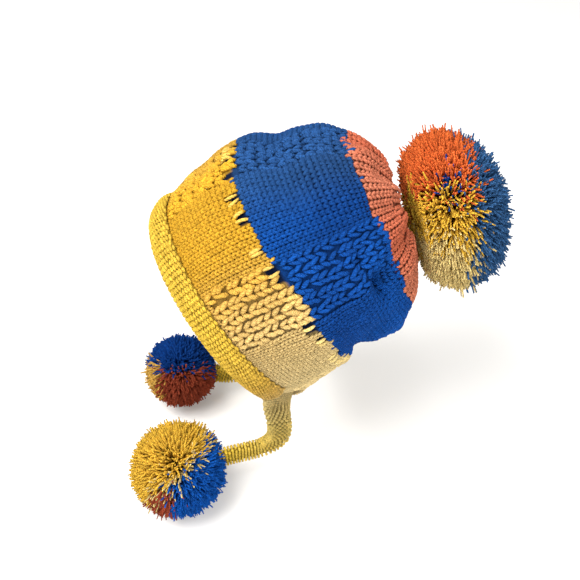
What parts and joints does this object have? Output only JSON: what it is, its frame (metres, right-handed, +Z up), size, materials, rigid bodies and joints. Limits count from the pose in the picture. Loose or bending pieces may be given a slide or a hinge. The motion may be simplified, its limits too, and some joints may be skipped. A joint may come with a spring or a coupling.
{
  "type": "chullo hat",
  "caption": "Chunky knitted chullo cap with a rolled brim, lace columns, ear flaps that end in knitted ties, and three pompoms.",
  "frame": {"origin": "middle of the head opening, in the plane of the brim, where a head sits", "axes": "+Z up as worn on the tilted head, -Y towards the forehead, +Y towards the nape and crown pompom, +X towards the wearer's left ear"},
  "size_m": [0.2155, 0.3461, 0.352],
  "materials": {
    "yellow_knit": "chunky knit of heathered golden yarn",
    "cream_knit": "chunky knit of pale yellow-cream yarn",
    "blue_knit": "chunky knit of denim to royal blue yarn",
    "rust_knit": "chunky knit of rust orange yarn",
    "pompom_rust": "cut yarn ends, rust orange with sectors of blue and yellow",
    "pompom_yellow": "cut yarn ends, golden yellow with a sector of blue",
    "pompom_blue": "cut yarn ends, navy blue with edges of rust and yellow"
  },
  "bodies": {
    "root": {"crown_body": "blue_knit", "rim_roll_front": "yellow_knit", "rim_roll_back": "cream_knit", "ear_flap_left": "cream_knit", "ear_flap_right": "cream_knit", "tie_left": "yellow_knit", "tie_right": "yellow_knit", "pompom_crown": "pompom_rust", "pompom_left": "pompom_yellow", "pompom_right": "pompom_blue"}
  },
  "joints": []
}
